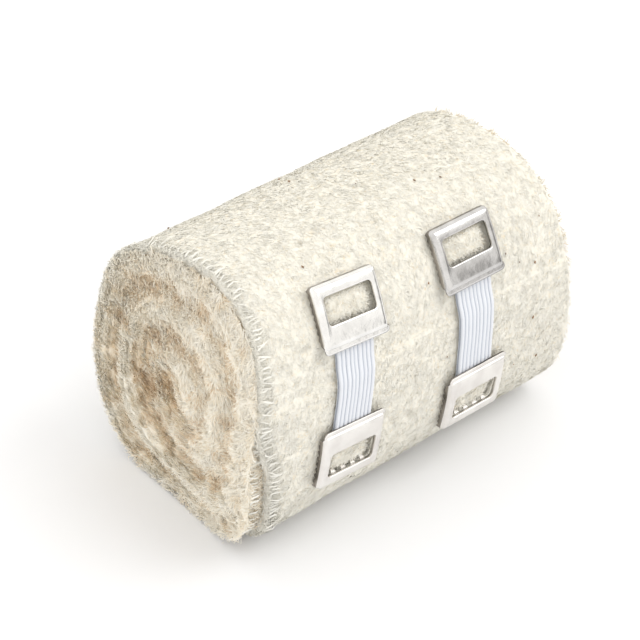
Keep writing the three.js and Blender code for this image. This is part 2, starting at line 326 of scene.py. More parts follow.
def add_value(nodes, name):
    """A value that each point of the mesh carries under a name."""
    node = nodes.new("ShaderNodeAttribute")
    node.attribute_name = name
    return node.outputs["Fac"]


# Colours, as shares of light given back
CREAM_PALE = (0.87, 0.855, 0.79)
CREAM_LIGHT = (0.86, 0.835, 0.755)
CREAM = (0.85, 0.81, 0.71)
CREAM_TAN = (0.80, 0.71, 0.55)
# The ends' copy of the nap's colours: tanner than the side's as painted warm shade on the ends, which face
# away from the key light, and paler as painted light that lifts them.
FACE_PALE = (0.98, 0.94, 0.84)
FACE_LIGHT = (0.96, 0.90, 0.77)
FACE_TAN = (0.92, 0.82, 0.65)
FACE_SHADE_TAN = (0.79, 0.62, 0.43)
SEED_BROWN = (0.12, 0.07, 0.04)
SEED_RUST = (0.38, 0.20, 0.08)
# The elastic's white, with painted shade for its grooves.
RIB_WHITE = (0.74, 0.76, 0.80)
RIB_SHADE = (0.63, 0.66, 0.72)
GROOVE_SHADE_GREY = (0.30, 0.33, 0.40)
FLOOR_WHITE = (0.84, 0.845, 0.86, 1.0)
STUDIO_WHITE = (1.0, 0.985, 0.96, 1.0)

# Each noise's scale, in lumps a metre, and its detail
CREPE_GRAIN = (900.0, 6.0)
ELASTIC_THREADS = (2400.0, 3.0)
METAL_SMUDGES = (260.0, 5.0)
METAL_MARKS = (700.0, 3.0)
SEED_MOTTLE = (1500.0, 3.0)

# Bump heights in metres
CREPE_BUMP = 0.0002
ELASTIC_BUMP = 0.0001
METAL_BUMP = 0.00005

# Each metal's colour, the duller colour of its smudges, and the range of its roughness
# Copies of one stamped metal: a bright one, a grey one painted with dark reflection, and a rougher one a
# little darker as painted shade.
BRIGHT_METAL = ((0.88, 0.87, 0.85), (0.74, 0.73, 0.71), 0.10, 0.24)
PAINTED_DARK_REFLECTION_METAL = ((0.66, 0.65, 0.64), (0.46, 0.45, 0.44), 0.14, 0.28)
DULL_SHADED_METAL = ((0.84, 0.82, 0.79), (0.73, 0.70, 0.67), 0.34, 0.55)
# The skirts' darker metal is painted shade.
SKIRT_SHADE_METAL = ((0.42, 0.39, 0.36), (0.10, 0.09, 0.08), 0.3, 0.6)

# The tones of the fibres, from the darkest to the palest
SIDE_TONES = ((0.0, CREAM_TAN), (0.2, CREAM), (0.42, CREAM_LIGHT), (0.9, CREAM_PALE))
FACE_PAINTED_LIGHT_TONES = ((0.0, FACE_SHADE_TAN), (0.22, FACE_TAN), (0.5, FACE_LIGHT), (0.85, FACE_PALE))


def cloth_material():
    """The ground under the nap: cream threads, with tan painted as shade in the low gaps of its bump, and
    more painted shade where the face is sunk.
    """
    material, nodes, links, shader = new_material("crepe_ground")
    grain = add_noise(nodes, links, CREPE_GRAIN)
    # Partly painted shade: the tan falls where this grain's bump sinks, in the gaps between threads.
    stops = ((0.28, CREAM_TAN), (0.42, CREAM), (0.58, CREAM_LIGHT))
    ground = add_ramp(nodes, links, grain.outputs["Fac"], stops)
    # Painted shade: the ground is multiplied towards a shaded tan by the amount of recess shade each point
    # carries.
    recess_shade = add_ramp(nodes, links, add_value(nodes, "painted_recess_shade"), ((0.0, (1.0, 1.0, 1.0)), (1.0, FACE_SHADE_TAN)))
    blend = nodes.new("ShaderNodeMix")
    blend.data_type = "RGBA"
    blend.blend_type = "MULTIPLY"
    blend.inputs["Factor"].default_value = 1.0
    links.new(ground.outputs["Color"], blend.inputs["A"])
    links.new(recess_shade.outputs["Color"], blend.inputs["B"])
    links.new(blend.outputs["Result"], shader.inputs["Base Color"])
    add_bump(nodes, links, shader, grain.outputs["Fac"], CREPE_BUMP)
    shader.inputs["Roughness"].default_value = 0.95
    shader.inputs["Specular IOR Level"].default_value = 0.1
    return material


def fibre_material(name, stops):
    """Loose cotton fibres: each has its own tone."""
    material, nodes, links, shader = new_material(name)
    ramp = add_ramp(nodes, links, add_value(nodes, "tone"), stops)
    links.new(ramp.outputs["Color"], shader.inputs["Base Color"])
    shader.inputs["Roughness"].default_value = 0.85
    shader.inputs["Specular IOR Level"].default_value = 0.15
    return material


def elastic_material():
    """White ribbed elastic: painted bluish grey shade in the grooves, with fine cross threads."""
    material, nodes, links, shader = new_material("elastic_white")
    # Painted shade: the ribs' white darkens to grey in the grooves.
    stops = ((0.0, RIB_WHITE), (0.5, RIB_SHADE), (0.8, GROOVE_SHADE_GREY))
    ramp = add_ramp(nodes, links, add_value(nodes, "groove"), stops)
    links.new(ramp.outputs["Color"], shader.inputs["Base Color"])
    thread = add_noise(nodes, links, ELASTIC_THREADS)
    add_bump(nodes, links, shader, thread.outputs["Fac"], ELASTIC_BUMP)
    shader.inputs["Roughness"].default_value = 0.6
    return material


def metal_material(name, colour, dull, low_rough, high_rough):
    """Stamped sheet: bright, with faint press marks and smudges that change its gloss."""
    material, nodes, links, shader = new_material(name)
    smudge = add_noise(nodes, links, METAL_SMUDGES)
    tint = add_ramp(nodes, links, smudge.outputs["Fac"], ((0.3, dull), (0.6, colour)))
    links.new(tint.outputs["Color"], shader.inputs["Base Color"])
    gloss = add_range(nodes, links, smudge.outputs["Fac"], (0.3, 0.7), (low_rough, high_rough))
    links.new(gloss.outputs["Result"], shader.inputs["Roughness"])
    marks = add_noise(nodes, links, METAL_MARKS)
    add_bump(nodes, links, shader, marks.outputs["Fac"], METAL_BUMP)
    shader.inputs["Metallic"].default_value = 1.0
    return material


# The roll's cloth

ROUND_STEPS = 320
NEAR_ROWS = 100
SIDE_ROWS = 96
FAR_ROWS = 70
GROOVE_START, GROOVE_FULL = 1.0, 4.0
GROOVE_AT_EDGE = 0.5
EDGE_ROUND_SHARE = 0.3


def ring(angle, x, reach):
    y, z = section_point(angle, soft_raise(angle) * reach ** STEP_FADE_POWER - SKIN_INSET * reach)
    height = MIDDLE_HEIGHT + (z - MIDDLE_HEIGHT) * reach
    return np.stack((np.broadcast_to(x, angle.shape), y * reach, height), axis=1)


def face_rings(angle, rows, edge_x, relief, inward):
    """The rings of one end's face from its middle outwards, with the painted shade of each point, which
    grows where the face is sunk.
    """
    rings, recess_shades = [], []
    for i in range(1, rows + 1):
        reach = INNER_REACH * i / rows
        radius = reach * ROLL_HALF_WIDTH
        main = end_sink(radius, angle) * relief
        groove = fine_turns(radius, angle) * smooth(radius, GROOVE_START, GROOVE_FULL)
        x = edge_x(angle, reach) + inward * (main + FINE_TURN_DEPTH * groove)
        rings.append(ring(angle, x, reach))
        # Painted shade: most in the spiral's valleys and the pit by the core, a little in the fine grooves.
        recess_shade = 0.7 * main_ridge(radius, angle) + 0.8 * pit(radius, angle) + 0.2 * groove
        recess_shades.append(np.clip(recess_shade, 0.0, 1.0) * np.ones_like(angle))
    return rings, recess_shades


def roll_rings():
    """The rings of the whole skin: the near end, the last turn's edge, the side and the far end."""
    angle = np.arange(ROUND_STEPS) * 360.0 / ROUND_STEPS
    none = np.zeros_like(angle)
    rings, recess_shades = face_rings(angle, NEAR_ROWS, near_end_x, 1.0, 1.0)
    turn_edge = near_end_x(angle, 1.0) + set_back(turn_share(angle))
    rings.append(ring(angle, turn_edge + GROOVE_AT_EDGE, INNER_REACH))
    rings.append(ring(angle, turn_edge, (INNER_REACH + ROUNDED_REACH) / 2))
    rings.append(ring(angle, turn_edge + EDGE_ROUND * EDGE_ROUND_SHARE, ROUNDED_REACH))
    # Painted shade: full on the groove where the last turn stands back, a little on its edge.
    recess_shades += [none + 1.0, none + 0.3, none]
    start = turn_edge + EDGE_ROUND
    end = far_end_x(angle, 1.0) - EDGE_ROUND
    for i in range(SIDE_ROWS + 1):
        rings.append(ring(angle, start + (end - start) * i / SIDE_ROWS, 1.0))
        recess_shades.append(none)
    rings.append(ring(angle, far_end_x(angle, 1.0) - EDGE_ROUND * EDGE_ROUND_SHARE, ROUNDED_REACH))
    recess_shades.append(none)
    far_rings, far_recess_shades = face_rings(angle, FAR_ROWS, far_end_x, FAR_END_RELIEF, -1.0)
    return rings + far_rings[::-1], recess_shades + far_recess_shades[::-1]


def uneven(points, normals):
    """Lumps and grain, pushed along the normals; what rests stays on the surface."""
    lumps = noise_at(points, LUMP_SIZE, 1) * LUMP_HEIGHT
    grain = noise_at(points, GRAIN_SIZE, 2) * GRAIN_HEIGHT
    moved = points + normals * (lumps + grain)[:, None]
    moved[:, 2] = np.maximum(moved[:, 2], 0.0)
    flat = points[:, 2] <= 0.0
    moved[flat] = points[flat]
    return moved


def grid_normals(points, rows, length):
    """The outward normal at each point of a grid whose rows are closed loops."""
    grid = points.reshape(rows, length, 3)
    along = np.gradient(grid, axis=0)
    round_ = np.roll(grid, -1, axis=1) - np.roll(grid, 1, axis=1)
    normal = np.cross(round_, along)
    size = np.linalg.norm(normal, axis=2, keepdims=True)
    return (normal / np.maximum(size, 1e-9)).reshape(-1, 3)


def crepe_roll(material):
    """The roll's skin: rings of quads, closed at each end by a fan of triangles."""
    rings, recess_shades = roll_rings()
    length = len(rings[0])
    points = np.concatenate(rings)
    points = uneven(points, grid_normals(points, len(rings), length))
    faces = skin_faces(len(rings), length)
    last = (len(rings) - 1) * length
    near_middle = points[:length].mean(axis=0)
    far_middle = points[last:].mean(axis=0)
    total = len(points)
    step = np.arange(length)
    beside = (step + 1) % length
    near_fan = np.stack((np.full(length, total), beside, step), axis=1)
    far_fan = np.stack((np.full(length, total + 1), last + step, last + beside), axis=1)
    points = np.vstack((points, near_middle, far_middle))
    quads = [tuple(face) for face in faces]
    fans = [tuple(face) for face in np.vstack((near_fan, far_fan))]
    mesh = bpy.data.meshes.new("crepe_roll")
    mesh.from_pydata(((points + SHIFT) * MM).tolist(), [], quads + fans)
    mesh.polygons.foreach_set("use_smooth", np.full(len(quads) + len(fans), True))
    mesh.materials.append(material)
    piece = bpy.data.objects.new("crepe_roll", mesh)
    bpy.context.scene.collection.objects.link(piece)
    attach(piece, "root")
    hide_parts("bandage_roll")
    # Painted shade for the faces' recesses, full at each end's middle point.
    add_attribute(piece, "painted_recess_shade", np.append(np.concatenate(recess_shades), (1.0, 1.0)))
    return piece


# Loose fibres of the nap

FIBRE_POINTS = 5
FIBRE_TILT = 0.7
FIBRE_TAPER = 0.8
FIBRE_FALL = 0.9
TIP_CURL = 0.3
LEAST_HEIGHT = 0.02
SHADE_SPREAD = 0.2
FACE_SPLAY, CUT_SPLAY = 0.25, 0.6


def unit(vectors):
    return vectors / np.maximum(np.linalg.norm(vectors, axis=1, keepdims=True), 1e-9)


def fibres(name, roots, normals, headings, lengths, widths, lifts, curls, tones, material):
    """Each fibre is a bent, tapered ribbon of three triangles that faces away from the cloth."""
    count = len(roots)
    normals = unit(normals)
    headings = unit(headings - normals * np.sum(headings * normals, axis=1, keepdims=True))
    sides = np.cross(normals, headings)
    tilt = RANDOM.uniform(-FIBRE_TILT, FIBRE_TILT, (count, 1))
    width = unit(sides + normals * tilt) * widths[:, None] / 2
    run = headings * lengths[:, None]
    curl = sides * (curls * lengths)[:, None]
    middle = roots + run * 0.5 + normals * (lifts * lengths)[:, None] + curl
    end_rise = RANDOM.uniform(0.1, 1.5, count)
    rise = normals * (lifts * lengths * end_rise)[:, None]
    tip = roots + run * FIBRE_FALL + rise - curl * TIP_CURL
    narrow = width * FIBRE_TAPER
    points = np.stack((roots - width, roots + width, middle - narrow, middle + narrow, tip), axis=1)
    points = points.reshape(-1, 3)
    points[:, 2] = np.maximum(points[:, 2], LEAST_HEIGHT)
    base = (np.arange(count) * FIBRE_POINTS)[:, None]
    faces = np.concatenate((base + (0, 2, 1), base + (1, 2, 3), base + (2, 4, 3)), axis=1).reshape(-1, 3)
    piece = mesh_piece(name, points, faces, material)
    add_attribute(piece, "tone", np.repeat(tones, FIBRE_POINTS))
    soft = unit(normals + RANDOM.normal(0.0, SHADE_SPREAD, (count, 3)))
    piece.data.normals_split_custom_set_from_vertices(np.repeat(soft, FIBRE_POINTS, axis=0).tolist())
    return piece


def round_axes(x, y, z, y_next, z_next):
    """The direction round the roll and the outward normal, from points and the next ones round."""
    zero = np.zeros_like(x)
    around = unit(np.stack((zero, y_next - y, z_next - z), axis=1))
    return around, np.stack((zero, around[:, 2], -around[:, 1]), axis=1)


def side_surface(angle, along):
    """Points and outward normals on the roll's side, at shares of its length."""
    share = turn_share(angle)
    start = near_end_x(angle, 1.0) + set_back(share) + EDGE_ROUND
    end = far_end_x(angle, 1.0) - EDGE_ROUND
    x = start + (end - start) * along
    y, z = section_point(angle, soft_raise(angle) - SKIN_INSET)
    following = angle + STEP_ANGLE
    y_next, z_next = section_point(following, soft_raise(following) - SKIN_INSET)
    points = np.stack((x, y, z), axis=1)
    around, normals = round_axes(x, y, z, y_next, z_next)
    lumps = noise_at(points, LUMP_SIZE, 1) * LUMP_HEIGHT
    return points + normals * lumps[:, None], normals, around


# Counts of fibres in each part of the nap
SIDE_FIBRES = 64000
FLYAWAY_FIBRES = 7000
FACE_FIBRES = 46000
FAR_FIBRES = 32000
RIM_FIBRES = 13000
CUT_FIBRES = 9000
BAND_FIBRES = 5000
SELVAGE_PITCH = 0.85
LOOP_RAISE = 0.32
WINDOW_FIBRES = 1100
SEED_FLECKS = 36

# Ranges of length, width and lift, and the spread of the curl, of the fibres in each nap
SIDE_SIZES = ((0.6, 1.7), (0.10, 0.2), (0.03, 0.13), 0.35)
FLYAWAY_SIZES = ((0.6, 1.5), (0.04, 0.07), (0.15, 0.45), 0.3)
FACE_SIZES = ((0.8, 2.2), (0.09, 0.18), (0.05, 0.38), 0.2)
RIM_SIZES = ((0.7, 1.8), (0.08, 0.15), (-0.1, 0.4), 0.2)
CUT_SIZES = ((0.6, 1.5), (0.1, 0.18), (0.05, 0.3), 0.2)
BAND_SIZES = ((0.6, 1.6), (0.08, 0.16), (0.05, 0.3), 0.2)
OUTER_LOOP_SIZES = ((1.8, 3.6), (0.24, 0.42), (0.05, 0.2), 0.12)
INNER_LOOP_SIZES = ((1.8, 3.2), (0.3, 0.46), (0.05, 0.2), 0.12)
PUFF_SIZES = ((0.5, 1.3), (0.08, 0.16), (0.05, 0.3), 0.3)

# How far the fibres' directions swing, in radians, and over lumps of what size
SIDE_DRIFT_SIZE, SIDE_DRIFT, SIDE_STRAY = 2.2, 2.4, 0.8
FACE_SWIRL_SIZE, FACE_SWIRL, FACE_STRAY = 2.8, 3.0, 0.5
RIM_STRAY, CUT_STRAY, BAND_STRAY = 0.6, 0.9, 0.5
OUTER_LOOP_STRAY, INNER_LOOP_STRAY = 0.25, 0.14
RIM_SPREAD = 0.02

# How the fibres' tones vary, from 0 for the darkest to 1 for the palest
SIDE_TONE, SIDE_TONE_SPREAD = 0.62, 0.12
TUFT_SIZE, TUFT_TONE = 1.1, 0.3
CLOUD_SIZE, CLOUD_TONE = 14.0, 0.1
FACE_PATCH_SIZE, FACE_PATCH_TONE = 3.2, 0.5
# Painted shade: how much the face fibres darken in the spiral's valleys, the pit and the fine grooves.
RIDGE_PAINTED_SHADE, PIT_PAINTED_SHADE, GROOVE_PAINTED_SHADE = 0.6, 0.8, 0.15
RECESS_PAINTED_SHADE = 0.5

SEED_RAISE, SEED_LONG, SEED_FLAT = 0.4, 1.7, 0.6
SEED_FACES = ((0, 2, 4), (2, 1, 4), (1, 3, 4), (3, 0, 4), (2, 0, 5), (1, 2, 5), (3, 1, 5), (0, 3, 5))


def strands(name, roots, normals, headings, sizes, tones, material):
    """Fibres with lengths, widths, lifts and curls drawn from four ranges, and then their tones."""
    count = len(roots)
    lengths, widths, lifts, curl_spread = sizes
    drawn = [RANDOM.uniform(*limits, count) for limits in (lengths, widths, lifts)]
    curls = RANDOM.normal(0.0, curl_spread, count)
    shades = tones(count)
    fibres(name, roots, normals, headings, *drawn, curls, shades, material)


def even_tones(low, high):
    return lambda count: RANDOM.uniform(low, high, count)


def heading_at(turn, first, second):
    """A direction turned from a first one towards a second one."""
    return first * np.cos(turn)[:, None] + second * np.sin(turn)[:, None]


def side_fibres(material):
    """The nap of the side, in two pieces: short fibres that lie in drifts."""
    for index in range(2):
        angle = RANDOM.uniform(0.0, 360.0, SIDE_FIBRES)
        along = RANDOM.uniform(0.0, 1.0, SIDE_FIBRES)
        roots, normals, around = side_surface(angle, along)
        stray = RANDOM.normal(0.0, SIDE_STRAY, SIDE_FIBRES)
        headings = heading_at(noise_at(roots, SIDE_DRIFT_SIZE, 5) * SIDE_DRIFT + stray, around, ALONG)
        tufts = noise_at(roots, TUFT_SIZE, 6) * TUFT_TONE
        clouds = noise_at(roots, CLOUD_SIZE, 7) * CLOUD_TONE

        def tones(count):
            own = RANDOM.normal(0.0, SIDE_TONE_SPREAD, count)
            return np.clip(SIDE_TONE + (tufts + clouds) + own, 0.0, 1.0)

        strands(f"side_nap_{index + 1}", roots, normals, headings, SIDE_SIZES, tones, material)


def flyaway_fibres(material):
    """Thin fibres that stand out of the side's nap and soften its outline."""
    angle = RANDOM.uniform(0.0, 360.0, FLYAWAY_FIBRES)
    roots, normals, around = side_surface(angle, RANDOM.uniform(0.0, 1.0, FLYAWAY_FIBRES))
    headings = heading_at(RANDOM.uniform(0.0, 2 * math.pi, FLYAWAY_FIBRES), around, ALONG)
    strands("flyaway_nap", roots, normals, headings, FLYAWAY_SIZES, even_tones(0.4, 1.0), material)


def face_surface(angle, reach, edge_x, relief, inward):
    """Points on an end's face, with the directions outward and round at each."""
    radius = reach * ROLL_HALF_WIDTH
    x = edge_x(angle, reach) + inward * (end_sink(radius, angle) * relief)
    y, z = section_point(angle, -SKIN_INSET * reach)
    points = np.stack((x, y * reach, MIDDLE_HEIGHT + (z - MIDDLE_HEIGHT) * reach), axis=1)
    zero, cosine, sine = np.zeros_like(x), np.cos(np.radians(angle)), np.sin(np.radians(angle))
    outward = np.stack((zero, cosine, sine), axis=1)
    around = np.stack((zero, -sine, cosine), axis=1)
    return points, outward, around


def face_fibres(name, count, edge_x, relief, inward, material):
    """Fibres of an end's face: they follow the turns, stand out of the ridges, and are painted darker as
    shade where the face is sunk.
    """
    angle = RANDOM.uniform(0.0, 360.0, count)
    reach = np.sqrt(RANDOM.uniform(0.0, 1.0, count)) * ROUNDED_REACH
    points, outward, around = face_surface(angle, reach, edge_x, relief, inward)
    radius = reach * ROLL_HALF_WIDTH
    normals = unit(outward * FACE_SPLAY - ALONG * inward)
    swirl = noise_at(points, FACE_SWIRL_SIZE, 8) * FACE_SWIRL + RANDOM.normal(0.0, FACE_STRAY, count)
    recess_shade = RIDGE_PAINTED_SHADE * main_ridge(radius, angle) + PIT_PAINTED_SHADE * pit(radius, angle)
    recess_shade = recess_shade + GROOVE_PAINTED_SHADE * fine_turns(radius, angle)
    patches = noise_at(points, FACE_PATCH_SIZE, 9) * FACE_PATCH_TONE

    def tones(total):
        return np.clip(RANDOM.uniform(0.3, 1.0, total) - RECESS_PAINTED_SHADE * recess_shade + patches, 0.0, 1.0)

    strands(name, points, normals, heading_at(swirl, around, outward), FACE_SIZES, tones, material)


def rim_fibres(material):
    """Fibres that stand off the turn's edge at the spiral end."""
    angle = RANDOM.uniform(0.0, 360.0, RIM_FIBRES)
    roots, normals, around = side_surface(angle, np.abs(RANDOM.normal(0.0, RIM_SPREAD, RIM_FIBRES)))
    headings = around * RANDOM.normal(0.0, RIM_STRAY, RIM_FIBRES)[:, None] - ALONG
    strands("rim_nap", roots, normals, headings, RIM_SIZES, even_tones(0.3, 1.0), material)


def cut_fibres(material):
    """Nap on the cut edge of the last turn, which faces the spiral end."""
    angle = RANDOM.uniform(0.0, 360.0, CUT_FIBRES)
    reach = 1 - RANDOM.uniform(0.0, TURN_THICKNESS, CUT_FIBRES) / ROLL_HALF_WIDTH
    points, outward, around = face_surface(angle, reach, near_end_x, 0.0, 1.0)
    points[:, 0] = near_end_x(angle, 1.0) + set_back(turn_share(angle)) + 0.1
    normals = unit(outward * CUT_SPLAY - ALONG)
    headings = heading_at(RANDOM.normal(0.0, CUT_STRAY, CUT_FIBRES), outward, around)
    strands("cut_edge_nap", points, normals, headings, CUT_SIZES, even_tones(0.3, 1.0), material)


def band_fibres(material):
    """Nap on the layer that shows where the last turn stands back."""
    angle = CLOTH_END_ANGLE + RANDOM.uniform(0.0, SET_BACK_GONE, BAND_FIBRES)
    inwards = RANDOM.uniform(0.0, 1.0, BAND_FIBRES) * set_back(turn_share(angle))
    points, normals, around = selvage_surface(angle, inwards)
    headings = around * RANDOM.normal(0.0, BAND_STRAY, BAND_FIBRES)[:, None] + ALONG
    strands("band_nap", points, normals, headings, BAND_SIZES, even_tones(0.1, 0.9), material)


def selvage_surface(angle, inwards):
    """Points on the layer under the last turn, at lengths in from the spiral end's edge."""
    fade = INNER_REACH ** STEP_FADE_POWER
    following = angle + STEP_ANGLE
    x = near_end_x(angle, INNER_REACH) + inwards
    y, z = section_point(angle, soft_raise(angle) * fade - SKIN_INSET)
    y_next, z_next = section_point(following, soft_raise(following) * fade - SKIN_INSET)
    height = MIDDLE_HEIGHT + (z - MIDDLE_HEIGHT) * INNER_REACH
    points = np.stack((x, y * INNER_REACH, height), axis=1)
    around, normals = round_axes(x, y, z, y_next, z_next)
    return points, normals, around


def selvage_threads(material):
    """The selvage's short weft loops: light threads across the edge, loose on the last turn."""
    way_round = 2 * math.pi * ROLL_HALF_HEIGHT
    count = int(way_round / SELVAGE_PITCH)
    angle = np.arange(count) * 360.0 / count + RANDOM.uniform(-0.7, 0.7, count)
    roots, normals, around = side_surface(angle, RANDOM.uniform(-0.008, 0.002, count))
    loops("selvage_loops", roots, normals, around, OUTER_LOOP_STRAY, OUTER_LOOP_SIZES, material)
    count = int(way_round * SET_BACK_GONE / 360.0 / SELVAGE_PITCH)
    angle = CLOTH_END_ANGLE + (np.arange(count) + 0.5) * SET_BACK_GONE / count
    roots, normals, around = selvage_surface(angle, RANDOM.uniform(0.1, 0.5, count))
    loops("inner_selvage_loops", roots, normals, around, INNER_LOOP_STRAY, INNER_LOOP_SIZES, material)


def loops(name, roots, normals, around, stray, sizes, material):
    """Thick light threads along the roll, just above the nap."""
    headings = ALONG + around * RANDOM.normal(0.0, stray, len(roots))[:, None]
    raised = roots + normals * LOOP_RAISE
    strands(name, raised, normals, headings, sizes, even_tones(0.8, 1.0), material)


def seed_flecks():
    """Specks of seed husk that stay in unbleached cotton."""
    material, nodes, links, shader = new_material("seed_husk")
    tint = add_noise(nodes, links, SEED_MOTTLE)
    ramp = add_ramp(nodes, links, tint.outputs["Fac"], ((0.4, SEED_BROWN), (0.7, SEED_RUST)))
    links.new(ramp.outputs["Color"], shader.inputs["Base Color"])
    shader.inputs["Roughness"].default_value = 0.7
    angle = RANDOM.uniform(60.0, 420.0, SEED_FLECKS)
    roots, normals, around = side_surface(angle, RANDOM.uniform(0.02, 0.98, SEED_FLECKS))
    points, faces = [], []
    for root, normal, round_ in zip(roots, normals, around):
        size = RANDOM.uniform(0.14, 0.3)
        centre = root + normal * SEED_RAISE
        base = len(points)
        for half in (ALONG * size, round_ * size * SEED_LONG, normal * size * SEED_FLAT):
            points += [centre + half, centre - half]
        faces += [tuple(base + k for k in face) for face in SEED_FACES]
    piece = mesh_piece("seed_flecks", points, faces, material)


# Where the clips lie

OUTLINE_SAMPLES = 720
RAMP_SPAN = 9.0
TANGENT_REACH = 0.8


def carrier_outline():
    """The section that the clips lie on, with the cloth's end ramped, and the length along it."""
    angle = np.linspace(0.0, 360.0, OUTLINE_SAMPLES + 1)
    high = roll_raise(turn_share(angle))
    ramp = smooth(angle, CLOTH_END_ANGLE - RAMP_SPAN, CLOTH_END_ANGLE)
    low = LAST_TURN_STEP * (ramp - 0.5)
    y, z = section_point(angle, np.maximum(high, low))
    length = np.append(0.0, np.cumsum(np.hypot(np.diff(y), np.diff(z))))
    return angle, y, z, length


OUTLINE_ANGLE, OUTLINE_Y, OUTLINE_Z, OUTLINE_LENGTH = carrier_outline()
END_LENGTH = np.interp(CLOTH_END_ANGLE, OUTLINE_ANGLE, OUTLINE_LENGTH)


def outline_at(length):
    return np.interp(length, OUTLINE_LENGTH, OUTLINE_Y), np.interp(length, OUTLINE_LENGTH, OUTLINE_Z)


def carrier_at(below):
    """Points, downward tangents and outward normals at lengths below the cloth's free end."""
    wanted = END_LENGTH + np.asarray(below, dtype=float)
    y, z = outline_at(wanted)
    y_above, z_above = outline_at(wanted - TANGENT_REACH)
    y_below, z_below = outline_at(wanted + TANGENT_REACH)
    rise_y, rise_z = y_below - y_above, z_below - z_above
    size = np.hypot(rise_y, rise_z)
    zero = np.zeros_like(y)
    down = np.stack((zero, rise_y / size, rise_z / size), axis=-1)
    outward = np.stack((zero, rise_z / size, -rise_y / size), axis=-1)
    return np.stack((zero, y, z), axis=-1), down, outward


def on_cloth(clip, across, down, height):
    """Points of a clip's elastic, which follows the cloth; down is along the clip."""
    turn = math.radians(clip["turn"])
    across, down, height = np.broadcast_arrays(across, down, height)
    x = clip["along"] + across * math.cos(turn) - down * math.sin(turn)
    below = clip["below_end"] + down * math.cos(turn) + across * math.sin(turn)
    point, _, outward = carrier_at(below)
    placed = point + outward * height[..., None]
    placed[..., 0] = x
    return placed


def on_head(clip, middle, across, away, height):
    """A head is stiff: a plate that is bent a little, tangent to the cloth at its middle."""
    bars, sides = math.radians(clip["bar_turn"]), math.radians(clip["side_turn"])
    origin = on_cloth(clip, 0.0, middle, 0.0)
    _, down, outward = carrier_at(clip["below_end"] + middle * math.cos(math.radians(clip["turn"])))
    x = across * math.cos(bars) - away * math.sin(sides)
    fall = away * math.cos(sides) + across * math.sin(bars)
    bend = fall * fall / (2 * HEAD_BEND_RADIUS)
    return origin + x[:, None] * ALONG + fall[:, None] * down + (height - bend)[:, None] * outward


# The clips' heads

CORNER_STEPS = 8
EDGE_STEPS = 26


def rounded_loop(left, right, start, end, corner):
    """A rectangle with rounded corners, always with the same number of points."""
    corners = ((right, end, 0.0), (left, end, 90.0), (left, start, 180.0), (right, start, 270.0))
    arcs = []
    for x, y, turn in corners:
        angle = np.radians(turn + np.linspace(0.0, 90.0, CORNER_STEPS + 1))
        centre_x = x - corner if x == right else x + corner
        centre_y = y - corner if y == end else y + corner
        arc_x, arc_y = centre_x + corner * np.cos(angle), centre_y + corner * np.sin(angle)
        arcs.append(np.stack((arc_x, arc_y), axis=1))
    loop = []
    for index, arc in enumerate(arcs):
        following = arcs[(index + 1) % len(arcs)][0]
        share = np.arange(1, EDGE_STEPS)[:, None] / EDGE_STEPS
        loop += [arc, arc[-1] + (following - arc[-1]) * share]
    return np.concatenate(loop)


def outer_loop(inset, elastic_inset):
    """A head's outline, set in by one length on three sides and by another at the elastic."""
    half_width = HEAD_WIDTH / 2 - inset
    half_length = HEAD_LENGTH / 2
    corner = max(HEAD_CORNER - inset, LEAST_CORNER)
    return rounded_loop(-half_width, half_width, -half_length + inset, half_length - elastic_inset, corner)


WINDOW_START = -HEAD_LENGTH / 2 + OUTER_BAR


def window_loop(growth):
    half_width = WINDOW_WIDTH / 2 + growth
    end = WINDOW_START + WINDOW_LENGTH + growth
    return rounded_loop(-half_width, half_width, WINDOW_START - growth, end, WINDOW_CORNER + growth)


TOOTH_PITCH = 1.3
TOOTH_HEIGHT = 0.6
TOOTH_GAP = GAP * 0.4
SKIRT_INSET, SKIRT_LIP_INSET, SKIRT_DROP = 0.1, 0.12, 0.9
SHOULDER_LEAN_SHARE, SHOULDER_LIP_SHARE, SHOULDER_DROP = 0.7, 0.5, 0.62
ARCH_WIDTH = 0.9
ARCH_DROP = 0.45
ARCH_TURNS = (0.0, 25.0, 50.0, 70.0, 90.0)
WINDOW_ROLL = 0.3
WINDOW_TURNS = (90.0, 60.0, 30.0, 0.0)
SKIRT_RINGS = 1


def head_middle(clip, side):
    """How far down the clip the middle of a head lies: side is 1 for the lower one, -1 for the upper."""
    return side * (clip["elastic"] / 2 + HEAD_LENGTH / 2)


def skirt_foot(loop):
    """The skirt's lower edge is toothed on three sides and stays up over the elastic."""
    away = loop[:, 1]
    lip_start = HEAD_LENGTH / 2 - LIP_LENGTH
    lift = smooth(away, lip_start - SKIRT_FROM_LIP, lip_start)
    run = np.where(np.abs(loop[:, 0]) > HEAD_WIDTH / 2 - HEAD_CORNER, away, loop[:, 0])
    tooth = np.abs(np.mod(run / TOOTH_PITCH, 1.0) * 2 - 1) * TOOTH_HEIGHT
    foot = TOOTH_GAP + tooth
    return foot + (HEAD_TOP - SHEET - foot) * lift


